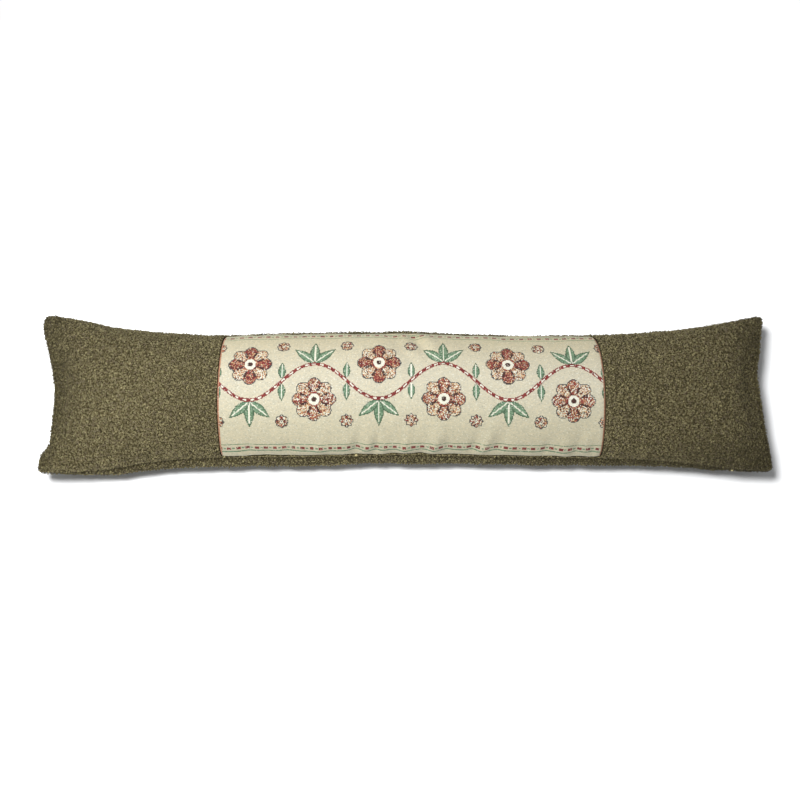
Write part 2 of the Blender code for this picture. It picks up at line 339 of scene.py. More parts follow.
# The two threads: noise cells to a metre, how dark and bright they make it, and the bump's depth
YARN_FINISH, WEAVE_FINISH = table(
    "name scale darkest brightest roughness sheen relief",
    ("boucle_yarn", 1300.0, 0.52, 1.42, 0.95, 0.0, 0.25 * MM),
    ("tapestry_weave", 1500.0, 0.92, 1.05, 0.85, 0.1, 0.15 * MM),
)
THREAD_STOPS = (0.3, 0.7)
GROUND_STOPS = (0.35, 0.65)
GROUND_SCALE, GROUND_DETAIL = 420.0, 3.0
GROUND_BUMP_SCALE, GROUND_RELIEF = 700.0, 0.6 * MM
GROUND_ROUGHNESS = 0.95
CLOTH_GLOSS, SHEEN_ROUGHNESS = 0.2, 0.6

# Camera and light
CAMERA_TARGET = (-0.0040, -0.0086, 0.0341)
CAMERA_DISTANCE = 1.300
CAMERA_TILT = math.radians(11)
CAMERA_SENSOR, CAMERA_LENS = 36.0, 47.81
FLOOR_REACH = 0.75
FLOOR_SIDES = 96
FLOOR_COLOUR = (0.93, 0.94, 0.95, 1.0)
BACKDROP_REACH = 6.0
FILL_STRENGTH = 0.25
BLACK, WHITE = (0.0, 0.0, 0.0, 1.0), (1.0, 1.0, 1.0, 1.0)
LAMPS = table(
    "name place size power lights_floor",
    ("studio_top", (-0.42, -0.04, 1.35), 0.45, 24.6, False),
    ("studio_floor_lamp", (-0.55, 0.34, 1.70), 0.60, 54.0, True),
)


def srgb(red, green, blue):
    """A colour given in 0 to 255 display values, as linear light."""
    values = np.array([red, green, blue]) / 255
    low, high = values / 12.92, ((values + 0.055) / 1.055) ** 2.4
    return np.where(values <= 0.04045, low, high)


YARNS = table(
    "share colour",
    (0.46, srgb(136, 127, 93)),
    (0.18, srgb(164, 155, 114)),
    (0.20, srgb(126, 116, 92)),
    (0.16, srgb(96, 89, 61)),
)
# The ground's dark colour is partly painted shade: it darkens the gaps between the curls
GROUND_DARK = srgb(48, 43, 27)
GROUND_LIGHT = srgb(82, 75, 50)

THREAD_SHADES = {
    "ground": ((200, 191, 162), (196, 188, 160), (191, 184, 158), (204, 193, 162)),
    "cream": ((228, 224, 202), (218, 213, 188)),
    "green": ((108, 134, 104), (124, 148, 118), (92, 118, 88)),
    "dark green": ((72, 94, 70), (84, 108, 82)),
    "brick": ((122, 48, 44), (108, 42, 40), (138, 62, 54)),
    "rust": ((158, 92, 68), (142, 76, 58), (176, 122, 92)),
    "tan": ((196, 160, 118), (206, 174, 130), (180, 140, 102)),
    "brown": ((78, 50, 42), (64, 44, 38)),
    "charcoal": ((66, 68, 66), (84, 84, 78)),
    "edge": ((188, 138, 104), (172, 118, 88)),
}
THREADS = {name: [srgb(*shade) for shade in shades] for name, shades in THREAD_SHADES.items()}
# How the threads' colour drifts from the panel's lower edge to its upper one: painted shade darkens
# it towards the lower edge, and it grows darker and yellower towards the upper edge
PANEL_TONES_AND_SHADE = table(
    "across red green blue",
    (-96, 0.80, 0.81, 0.79),
    (-45, 0.84, 0.86, 0.88),
    (15, 0.94, 0.97, 1.06),
    (60, 0.91, 0.91, 0.90),
    (96, 0.83, 0.81, 0.66),
)
# Threads that are woven in turns, cell by cell
BLENDS = {
    "warm": ("rust", "rust", "brick", "tan", "brown", "cream"),
    "sandy": ("tan", "tan", "rust", "cream", "ground", "brown"),
    "berry": ("brick", "brick", "brick", "rust", "brown", "tan"),
}


# Form of the cushion


def curve_through(at, values, where):
    """A smooth curve through the points (at, values), read at where."""
    at, values = np.asarray(at, float), np.asarray(values, float)
    slopes = np.gradient(values, at)
    where = np.clip(where, at[0], at[-1])
    i = np.clip(np.searchsorted(at, where, side="right") - 1, 0, len(at) - 2)
    span = at[i + 1] - at[i]
    t = (where - at[i]) / span
    return (
        values[i] * (2 * t**3 - 3 * t**2 + 1)
        + slopes[i] * span * (t**3 - 2 * t**2 + t)
        + values[i + 1] * (3 * t**2 - 2 * t**3)
        + slopes[i + 1] * span * (t**3 - t**2)
    )


def table_curve(rows, key, column, where):
    """A column of a table in mm, as a smooth curve over its key, in metres."""
    at = [getattr(row, key) for row in rows]
    values = [getattr(row, column) for row in rows]
    return curve_through(at, values, where) * MM


def along_seams(x, *columns):
    """Columns of the long seams' table at each x, in metres."""
    return [table_curve(LONG_SEAMS, "x", column, x / MM) for column in columns]


def half_oval_length(half_width, rise):
    """Length over the top of a half oval, by Ramanujan's formula."""
    a, b = half_width, rise
    return math.pi / 2 * (3 * (a + b) - np.sqrt((3 * a + b) * (a + 3 * b)))


def crown_over(half_width):
    """The rise at which the cloth's full width spans the seams, found by halving."""
    low, high = np.zeros_like(half_width), np.full_like(half_width, FACE_ACROSS)
    for _ in range(HALVINGS):
        middle = (low + high) / 2
        slack = half_oval_length(half_width, middle) < FACE_ACROSS
        low, high = np.where(slack, middle, low), np.where(slack, high, middle)
    return low


def end_rounding(x, length):
    """0 at an end seam and 1 from length inwards, along a quarter circle."""
    inward = np.clip((HALF_LENGTH - np.abs(x)) / length, 0.0, 1.0)
    return np.sqrt(1.0 - (1.0 - inward) ** 2)


def between_seams(x):
    """Middle and half width between the long seams at each x."""
    top, bottom = along_seams(x, "top", "bottom")
    return (top + bottom) / 2, (top - bottom) / 2


def face_section(x):
    """(y, z) of the face from seam to seam at each x."""
    middle, half = between_seams(x)
    rise = crown_over(half) * end_rounding(x, FACE_END_ROUND)
    y = middle[:, None] + half[:, None] * np.sin(SECTION_TURNS)
    z = SEAM_HEIGHT + EDGE_ROLL + rise[:, None] * np.cos(SECTION_TURNS)
    return y, z


def back_section(x):
    """(y, z) of the underside at each x, with sagging sides and a flat foot."""
    middle, half = between_seams(x)
    top_sag, bottom_sag = along_seams(x, "top_sag", "bottom_sag")
    power = 2.0 / BACK_SQUARENESS
    outward = np.sign(SECTION_TURNS) * np.abs(np.sin(SECTION_TURNS)) ** power
    down = np.abs(np.cos(SECTION_TURNS)) ** power
    sag = np.where(SECTION_TURNS > 0, top_sag[:, None], bottom_sag[:, None])
    most_sag_half_way = 4.0 * down * (1.0 - down)
    reach = half[:, None] + sag * most_sag_half_way
    edge = SEAM_HEIGHT - EDGE_ROLL
    depth = (edge + FLATTENED) * end_rounding(x, BACK_END_ROUND)
    y = middle[:, None] + reach * outward
    z = np.maximum(edge - depth[:, None] * down, 0.0)
    return y, z


def spread_along(y, z, shares):
    """The sections read at shares of their own length, from -1 to 1."""
    steps = np.hypot(np.diff(y, axis=1), np.diff(z, axis=1))
    along = np.hstack([np.zeros((len(y), 1)), np.cumsum(steps, axis=1)])
    wanted = (shares + 1) / 2
    out = np.empty((len(y), len(wanted), 2))
    for i, length in enumerate(along):
        out[i, :, 0] = np.interp(wanted * length[-1], length, y[i])
        out[i, :, 1] = np.interp(wanted * length[-1], length, z[i])
    return out


def end_pull(x, shares):
    """How far the end seams draw each place in along X, which fades inwards."""
    left = table_curve(END_SEAMS, "across", "left", shares)
    right = table_curve(END_SEAMS, "across", "right", shares)
    return np.where(x < 0, left, -right) * (np.abs(x) / HALF_LENGTH) ** PULL_FADES


def drawn_in(x, shares):
    """X after the pull of the end seams and the bow of the panel's."""
    drawn = x[:, None] + end_pull(x[:, None], shares)
    for bow in PANEL_BOWS:
        here = np.exp(-(((x - bow.seam) / BOW_FADES) ** 2))
        most = np.where(shares > 0, bow.top, bow.bottom) * MM
        drawn += np.outer(here, most * shares**2)
    return drawn


def round_corners(points, x, shares):
    """Moves the points near each corner in onto its rounded ear."""
    from_end = HALF_LENGTH - np.abs(x)[:, None]
    from_side = (1.0 - np.abs(shares)) * HALF_ACROSS
    for ear in EARS:
        radius = ear.radius * MM
        here = (np.sign(x)[:, None] == ear.end) & (np.sign(shares) == ear.side)
        p = np.clip(1.0 - from_end / radius, 0.0, 1.0) * here
        q = np.clip(1.0 - from_side / radius, 0.0, 1.0) * here
        points[..., 0] -= ear.end * radius * p * (1.0 - np.sqrt(1.0 - q**2 / 2))
        points[..., 1] -= ear.side * radius * q * (1.0 - np.sqrt(1.0 - p**2 / 2))


def sheet(section, x, shares):
    """Points of the face or back at each x and share across, as [x, share, xyz]."""
    points = np.empty((len(x), len(shares), 3))
    points[..., 1:] = spread_along(*section(x), shares)
    points[..., 0] = drawn_in(x, shares)
    round_corners(points, x, shares)
    near_ear = np.outer(np.abs(x / HALF_LENGTH), np.abs(shares))
    points[..., 2] -= EAR_DROOP * near_ear**EAR_SHARPNESS
    return points


def unit(vectors):
    return vectors / np.maximum(np.linalg.norm(vectors, axis=-1, keepdims=True), 1e-12)


def normals_of(section, x, shares):
    """Unit normals of the face or back, from points a small step to each side."""
    step = NORMAL_STEP
    x_low, x_high = np.maximum(x - step, -HALF_LENGTH), np.minimum(x + step, HALF_LENGTH)
    low, high = np.maximum(shares - step, -1.0), np.minimum(shares + step, 1.0)
    along = sheet(section, x_high, shares) - sheet(section, x_low, shares)
    across = sheet(section, x, high) - sheet(section, x, low)
    return unit(np.cross(along, across))


# Folds and unevenness


def fold_depth(x, shares, folds):
    """How deep the folds press into the face at each point."""
    flat_x, flat_y = np.meshgrid(x, shares * HALF_ACROSS, indexing="ij")
    depth = np.zeros_like(flat_x)
    for fold in folds:
        lean = math.radians(fold.lean)
        dx, dy = flat_x - fold.x * MM, flat_y - fold.y * MM
        along = dx * math.cos(lean) + dy * math.sin(lean)
        beside = dy * math.cos(lean) - dx * math.sin(lean)
        shape = (along / (fold.length * MM)) ** 2 + (beside / (fold.width * MM)) ** 2
        depth += fold.depth * MM * np.exp(-shape)
    return depth


def blend_cells(values, i, j, s, t):
    """Grid values between rows i, i + 1 and columns j, j + 1, at shares s and t."""
    near = values[i, j] * (1 - t) + values[i, j + 1] * t
    far = values[i + 1, j] * (1 - t) + values[i + 1, j + 1] * t
    return near * (1 - s) + far * s


def smooth_noise(x, y, size, seed):
    """Soft hills and hollows about as wide as size, between -1 and 1."""
    rng = np.random.default_rng(seed)
    lattice = rng.uniform(-1.0, 1.0, [int(span / size) + 3 for span in NOISE_SPAN])
    u, v = (x + NOISE_SPAN[0] / 2) / size, (y + NOISE_SPAN[1] / 2) / size
    i, j = np.floor(u).astype(int), np.floor(v).astype(int)
    s, t = u - i, v - j
    return blend_cells(lattice, i, j, s * s * (3 - 2 * s), t * t * (3 - 2 * t))


def uneven(x, shares, seed, relief):
    """Height of the filling's lumps, the seams' gathers and the simulated dents."""
    flat_x, flat_y = np.meshgrid(x, shares * HALF_ACROSS, indexing="ij")
    lumps = smooth_noise(flat_x, flat_y, LUMP_SIZE, seed) * LUMP_HEIGHT
    from_long = HALF_ACROSS - np.abs(flat_y)
    from_end = HALF_LENGTH - np.abs(flat_x)
    side, end = np.sign(flat_y) * OPPOSITE_SEAM, np.sign(flat_x) * OPPOSITE_SEAM
    along_long = smooth_noise(flat_x, side, GATHER_SIZE, seed + 1)
    along_end = smooth_noise(flat_y, end, GATHER_SIZE, seed + 2)
    gathers = along_long * np.exp(-((from_long / GATHER_REACH) ** 2))
    gathers += along_end * np.exp(-((from_end / GATHER_REACH) ** 2))
    inside = np.clip(np.minimum(from_long, from_end) / EVEN_NEAR_SEAM, 0.0, 1.0)
    return (lumps + gathers * GATHER_HEIGHT + settled(x, shares, relief)) * inside


def cubic_weights(at, count):
    """Weights that read count values smoothly at places from -1 to 1 along them."""
    at = (at + 1.0) / 2.0 * (count - 1)
    i = np.clip(np.floor(at).astype(int), 0, count - 2)
    t = at - i
    weights = np.zeros((len(at), count))
    steps = (-t**3 + 2 * t**2 - t, 3 * t**3 - 5 * t**2 + 2, -3 * t**3 + 4 * t**2 + t, t**3 - t**2)
    for offset, weight in enumerate(steps, start=-1):
        np.add.at(weights, (np.arange(len(at)), np.clip(i + offset, 0, count - 1)), weight / 2)
    return weights


def blurred(values, spread):
    """A grid of values smoothed both ways over that many cells."""
    for axis in (0, 1):
        steps = np.arange(values.shape[axis])
        weights = np.exp(-(((steps[:, None] - steps[None, :]) / spread) ** 2) / 2)
        weights /= weights.sum(axis=1, keepdims=True)
        values = np.moveaxis(np.tensordot(weights, values, axes=(1, axis)), 0, axis)
    return values


def settled(x, shares, relief):
    """How far the simulated cover stands out at each x and share."""
    rows, columns = relief.shape
    return cubic_weights(x / HALF_LENGTH, rows) @ relief @ cubic_weights(shares, columns).T


def seam_dip(x):
    """How far the face is drawn down along the panel's two end seams."""
    nearest = np.minimum(np.abs(x - PANEL_LEFT), np.abs(x - PANEL_RIGHT))
    return SEAM_DIP * np.exp(-((nearest / SEAM_DIP_REACH) ** 2))


def face_points(x, shares, below):
    """Points of the finished face, or of the surface that far below it."""
    from_seam = np.maximum((1.0 - np.abs(shares)) * HALF_ACROSS - LIP, 0.0)
    held = 1.0 - np.exp(-((from_seam / FOLD_FADE) ** 2))
    lowered = fold_depth(x, shares, FOLDS) + fold_depth(x, shares, FINE_FOLDS) * held
    lowered += seam_dip(x)[:, None] + below
    lowered -= uneven(x, shares, FACE_SEED, RELIEF[0])
    return sheet(face_section, x, shares) - normals_of(face_section, x, shares) * lowered[..., None]


def back_points(x, shares):
    """Points of the underside, whose flat foot stays flat."""
    points = sheet(back_section, x, shares)
    free = np.clip(points[..., 2] / EVEN_NEAR_FOOT, 0.0, 1.0)
    sunk = CURL_SINK - uneven(x, shares, BACK_SEED, RELIEF[1]) * free
    points = points + normals_of(back_section, x, shares) * sunk[..., None]
    points[..., 2] = np.maximum(points[..., 2], UNDERSIDE_RISE)
    return points


# Meshes


def rim_of(rows, columns):
    """Indices round the edge of a grid, anticlockwise seen from its front."""
    index = np.arange(rows * columns).reshape(rows, columns)
    return np.hstack([index[:, 0], index[-1, 1:], index[-2::-1, -1], index[0, -2:0:-1]])


def cell_corners(rows, columns):
    """Rows and columns of the four corners of each of a grid's cells."""
    i, j = np.meshgrid(np.arange(rows - 1), np.arange(columns - 1), indexing="ij")
    i, j = i.ravel(), j.ravel()
    return np.stack([i, i + 1, i + 1, i], axis=1), np.stack([j, j, j + 1, j + 1], axis=1)


def grid_quads(rows, columns):
    """Corner indices of a grid's cells."""
    i, j = cell_corners(rows, columns)
    return i * columns + j


def grid_uvs(rows, columns, low=(0.0, 0.0), high=(1.0, 1.0)):
    """Map corners of a grid's cells, in the order of grid_quads."""
    i, j = cell_corners(rows, columns)
    u = low[0] + i / (rows - 1) * (high[0] - low[0])
    v = low[1] + j / (columns - 1) * (high[1] - low[1])
    return np.stack([u, v], axis=2)


def add_object(name, data):
    """A new object in the scene."""
    obj = bpy.data.objects.new(name, data)
    bpy.context.scene.collection.objects.link(obj)
    return obj


def mesh_object(name, points, polygons, uvs, colours=None):
    """A mesh of equal polygons, with its bake map and a colour for each corner or point."""
    count, sides = polygons.shape
    data = bpy.data.meshes.new(name)
    data.vertices.add(len(points))
    data.vertices.foreach_set("co", np.asarray(points, np.float32).ravel())
    data.loops.add(count * sides)
    data.loops.foreach_set("vertex_index", polygons.astype(np.int32).ravel())
    data.polygons.add(count)
    data.polygons.foreach_set("loop_start", np.arange(0, count * sides, sides, dtype=np.int32))
    layer = data.uv_layers.new(name="OFBake")
    layer.data.foreach_set("uv", np.asarray(uvs, np.float32).ravel())
    if colours is not None:
        domain = "POINT" if len(colours) == len(points) else "CORNER"
        attribute = data.color_attributes.new(name="thread", type="FLOAT_COLOR", domain=domain)
        opaque = np.hstack([colours, np.ones((len(colours), 1))])
        attribute.data.foreach_set("color", opaque.astype(np.float32).ravel())
    data.update(calc_edges=True)
    data.validate()
    data.shade_smooth()
    return add_object(name, data)


def lines_between(start, stop, cell):
    """Evenly spaced grid lines about a cell apart."""
    return np.linspace(start, stop, max(2, round(abs(stop - start) / cell) + 1))


def with_lip(lines, lean, rim):
    """Grid lines of the recess, and each side's wall top, middle of the lip and rim."""
    low, high = lines[0] - lean, lines[-1] + lean
    return np.hstack([[-rim, (low - rim) / 2, low], lines, [high, (high + rim) / 2, rim]])


def body_lines():
    """Grid lines of the body, along and across."""
    wall = 1.0 - LIP / HALF_ACROSS
    x = lines_between(-END_X, END_X, BODY_CELL)
    across = lines_between(-wall, wall, BODY_CELL / HALF_ACROSS)
    return with_lip(x, WALL_LEAN, HALF_LENGTH), with_lip(across, WALL_LEAN / HALF_ACROSS, 1.0)


def outward_of(ring):
    """Level directions that point out from a closed ring of points."""
    run = np.roll(ring, -1, axis=0) - np.roll(ring, 1, axis=0)
    return unit(np.stack([run[:, 1], -run[:, 0], np.zeros(len(run))], axis=1))


def seam_ring(face, back):
    """The sewn line round the cushion, sunk a little between the two rolled edges."""
    rim = rim_of(*face.shape[:2])
    middle = (face.reshape(-1, 3)[rim] + back.reshape(-1, 3)[rim]) / 2
    return middle - outward_of(middle) * SEAM_GROOVE


def body_surfaces():
    """Face with its recess, back, and the sewn ring between them."""
    x, across = body_lines()
    recess = np.full((len(x), len(across)), CURL_SINK)
    recess[3:-3, 3:-3] = BOUCLE_THICK + SEWN_GAP
    face, back = face_points(x, across, recess), back_points(x, across)
    return face, back, seam_ring(face, back)


def frame_shift():
    """How far the form moves to lie where the frame holds the cushion."""
    x, across = body_lines()
    sections = (face_section, back_section)
    form = np.vstack([sheet(section, x, across).reshape(-1, 3) for section in sections])
    box_low, box_high = (np.array(corner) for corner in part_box("cushion"))
    shift = (box_low + box_high - form.min(axis=0) - form.max(axis=0)) / 2
    shift[2] = box_low[2]
    return shift


def body_mesh(name, shift, surfaces):
    """The filled body as one closed mesh."""
    face, back, ring = (surface + shift for surface in surfaces)
    rows, columns = face.shape[:2]
    count = rows * columns
    rim = rim_of(rows, columns)
    points = np.vstack([face.reshape(-1, 3), back.reshape(-1, 3), ring])
    quads = [grid_quads(rows, columns), grid_quads(rows, columns)[:, ::-1] + count]
    uvs = [grid_uvs(rows, columns, *FACE_MAP), grid_uvs(rows, columns, *BACK_MAP)[:, ::-1]]
    edge = np.stack([rim + count, np.arange(len(rim)) + 2 * count, rim])
    edge = np.hstack([edge, edge[:, :1]])
    outward = [0, 3, 2, 1]
    quads.append(edge.ravel()[grid_quads(*edge.shape)[:, outward]])
    uvs.append(grid_uvs(*edge.shape, *EDGE_MAP)[:, outward, ::-1])
    return mesh_object(name, points, np.vstack(quads), np.vstack(uvs))


def simulated_relief():
    """Settles a coarse, filled cover, held at its sewn edge and foot, for its dents and swells."""
    x = lines_between(-HALF_LENGTH, HALF_LENGTH, COVER_CELL)
    across = lines_between(-1.0, 1.0, COVER_CELL / HALF_ACROSS)
    face, back = sheet(face_section, x, across), sheet(back_section, x, across)
    rows, columns = face.shape[:2]
    count = rows * columns
    rim = rim_of(rows, columns)
    cover = body_mesh("cover_to_fill", np.zeros(3), (face, back, seam_ring(face, back)))
    foot = np.flatnonzero(back[..., 2].ravel() < COVER_FOOT)
    pinned = np.hstack([rim, rim + count, np.arange(len(rim)) + 2 * count, foot + count])
    cover.vertex_groups.new(name="sewn").add(pinned.tolist(), 1.0, "REPLACE")
    cloth = cover.modifiers.new("filled", "CLOTH")
    settings = cloth.settings
    settings.vertex_group_mass = "sewn"
    settings.use_pressure = True
    settings.uniform_pressure_force = COVER_PRESSURE
    settings.shrink_min = -COVER_EXTRA
    settings.bending_stiffness = COVER_BENDING
    settings.effector_weights.gravity = 0.0
    cloth.point_cache.frame_end = COVER_FRAMES
    for step in range(1, COVER_FRAMES + 1):
        bpy.context.scene.frame_set(step)
    filled = cover.evaluated_get(bpy.context.evaluated_depsgraph_get()).to_mesh()
    moved = np.empty(len(filled.vertices) * 3, np.float32)
    filled.vertices.foreach_get("co", moved)
    moved = moved.reshape(-1, 3)
    bpy.context.scene.frame_set(1)
    bpy.data.objects.remove(cover)
    relief = []
    halves = ((0, face, face_section, 1), (count, back, back_section, -1))
    for start, form, section, outward in halves:
        step = moved[start : start + count].reshape(rows, columns, 3) - form
        stands = (step * normals_of(section, x, across)).sum(axis=2) * outward
        stands -= stands.mean(axis=0)
        dents = blurred(stands, COVER_FINEST) - blurred(stands, COVER_WIDEST)
        relief.append(COVER_CAP * np.tanh(dents / COVER_CAP))
    return relief


RELIEF = simulated_relief()


def tucked(x, across, base, turn):
    """Depth of a cloth whose four edges turn down into their seams."""
    from_x = np.minimum(x - x[0], x[-1] - x)
    from_across = np.minimum(across - across[0], across[-1] - across) * HALF_ACROSS
    nearest = np.minimum.outer(from_x, from_across)
    return base + turn * np.exp(-nearest / EDGE_TURN_REACH)


def face_cloth(x_ends, gaps, cell, base, turn, shift):
    """Grid lines and points of one cloth of the face."""
    x = lines_between(x_ends[0] + gaps[0], x_ends[1] - gaps[1], cell)
    edge = 1.0 - (LIP + EDGE_GAP) / HALF_ACROSS
    across = lines_between(-edge, edge, cell / HALF_ACROSS)
    points = face_points(x, across, tucked(x, across, base, turn)) + shift
    return x, across, points


# Yarn curls


def hex_spread(low, high, spacing, rng):
    """Points about spacing apart that fill a rectangle, each a little off its place."""
    row_step = spacing * math.sqrt(3) / 2
    a = np.arange(low[0], high[0], spacing)
    b = np.arange(low[1], high[1] + row_step / 2, row_step)
    u, v = np.meshgrid(a, b)
    u = u + spacing / 2 * (np.arange(len(b)) % 2)[:, None]
    u, v = u.ravel(), v.ravel()
    u = u + rng.uniform(-CURL_STRAY, CURL_STRAY, len(u)) * spacing
    v = v + rng.uniform(-CURL_STRAY, CURL_STRAY, len(v)) * spacing
    return np.clip(u, low[0], high[0]), np.clip(v, low[1], high[1])


def read_grid(values, rows, columns):
    """Values of a grid at fractional rows and columns."""
    i = np.clip(rows.astype(int), 0, values.shape[0] - 2)
    j = np.clip(columns.astype(int), 0, values.shape[1] - 2)
    return blend_cells(values, i, j, (rows - i)[:, None], (columns - j)[:, None])


def on_cloth(points, x_lines, y_lines, x, y):
    """Places and normals on a cloth's grid at flat places x and y."""
    normals = unit(np.cross(np.gradient(points, axis=0), np.gradient(points, axis=1)))
    rows = np.interp(x, x_lines, np.arange(len(x_lines)))
    columns = np.interp(y, y_lines, np.arange(len(y_lines)))
    return read_grid(points, rows, columns), unit(read_grid(normals, rows, columns))


def painted_pile_shade(places):
    """Painted shade and light on the pile's colour at each place, by where that lies on the flat
    cloth.
    """
    x = places[:, 0]
    middle, half = between_seams(x)
    shares = np.clip((places[:, 1] - middle) / half, -1.0, 1.0)
    flat_x = x - end_pull(x, shares)
    shade = np.ones(len(places))
    for spot in PAINTED_SHADES:
        along = (flat_x / MM - spot.x) / spot.reach_x
        across = (shares * HALF_ACROSS / MM - spot.y) / spot.reach_y
        shade *= 1.0 - spot.share * np.exp(-(along**2 + across**2))
    return shade


def curl_colours(count, stations, rng):
    """Two yarn colours twisted together in each curl, as a colour for each station."""
    shares = np.array([yarn.share for yarn in YARNS])
    palette = np.array([yarn.colour for yarn in YARNS])
    first = palette[rng.choice(len(YARNS), count, p=shares / shares.sum())]
    second = palette[rng.choice(len(YARNS), count, p=shares / shares.sum())]
    mixed = rng.random((count, stations, 1)) < SECOND_PLY
    colours = np.where(mixed, second[:, None], first[:, None])
    return colours * rng.uniform(*YARN_BRIGHTNESS, (count, 1, 1))


def curl_triangles(count):
    """Corner indices of that many curls, each a bent tube closed at both ends."""
    sides, last = CURL_SIDES, CURL_STEPS * CURL_SIDES
    triangles = []
    for start in range(0, last, sides):
        for k in range(sides):
            a, b = start + k, start + (k + 1) % sides
            triangles += [(a, a + sides, b + sides), (a, b + sides, b)]
    triangles += [(0, 1, 2), (last + 2, last + 1, last)]
    starts = np.arange(count) * (last + sides)
    return (np.array(triangles) + starts[:, None, None]).reshape(-1, 3)


def curl_uvs(along, count):
    """The curls' bake map, each curl in a square cell of its own."""
    cells = math.ceil(math.sqrt(count))
    cell = np.stack([np.arange(count) % cells, np.arange(count) // cells], axis=1)
    inside = np.meshgrid(along, np.arange(CURL_SIDES) / CURL_SIDES, indexing="ij")
    inside = CURL_MAP_START + CURL_MAP_SPAN * np.stack(inside, axis=-1)
    return ((cell[:, None, None] + inside) / cells).reshape(-1, 2)


def curls(name, places, normals, rng, floor=None, scale=1.0, shade=1.0):
    """Open rings of yarn as one mesh, each leaning its own way, its ends down in the cloth."""
    count, stations, sides = len(places), CURL_STEPS + 1, CURL_SIDES
    scale = np.broadcast_to(np.asarray(scale), count)[:, None]
    first = unit(np.cross(normals, rng.normal(size=(count, 3))))
    second = np.cross(normals, first)
    lean = rng.uniform(*CURL_LEAN, (count, 1))
    second, axis = (
        second * np.cos(lean) + normals * np.sin(lean),
        normals * np.cos(lean) - second * np.sin(lean),
    )
    radius = rng.uniform(*CURL_RADIUS, (count, 1)) * scale
    yarn = rng.uniform(*YARN_RADIUS, (count, 1, 1, 1)) * scale[:, :, None, None]
    along = np.linspace(0.0, 1.0, stations)
    turn = rng.uniform(0, 2 * math.pi, (count, 1)) + rng.uniform(*CURL_TURN, (count, 1)) * along
    squeeze = rng.uniform(*CURL_SQUEEZE, (count, 1))
    outward = first[:, None] * np.cos(turn)[..., None] + second[:, None] * np.sin(turn)[..., None]
    lift = rng.uniform(*CURL_LIFT, (count, 1)) * scale + radius * np.sin(lean) * LEANING_LIFT
    spine = (places + normals * lift)[:, None]
    spine = spine + first[:, None] * (radius * np.cos(turn))[..., None]
    spine = spine + second[:, None] * (radius * squeeze * np.sin(turn))[..., None]
    spine = spine - normals[:, None] * (CURL_END_DIP * np.abs(2 * along - 1) ** 4)[:, None]
    angle = 2 * math.pi * np.arange(sides) / sides
    round_yarn = outward[:, :, None] * np.cos(angle)[:, None]
    round_yarn = round_yarn + axis[:, None, None] * np.sin(angle)[:, None]
    points = (spine[:, :, None] + round_yarn * yarn).reshape(-1, 3)
    if floor is not None:
        pressed = floor + rng.uniform(0, PRESSED_SPREAD, len(points))
        points[:, 2] = np.maximum(points[:, 2], pressed)

    triangles = curl_triangles(count)
    # The colour takes painted shade and light by place, times the given multiplier, which is
    # painted shade along the long sides and the pale colour of the thread ends
    shade = painted_pile_shade(places) * shade
    colours = curl_colours(count, stations, rng) * shade[:, None, None]
    colours = np.repeat(colours, sides, axis=1).reshape(-1, 3)
    return mesh_object(name, points, triangles, curl_uvs(along, count)[triangles], colours)


# The panel's woven pattern: a vine between two bands, with leaves and rosettes


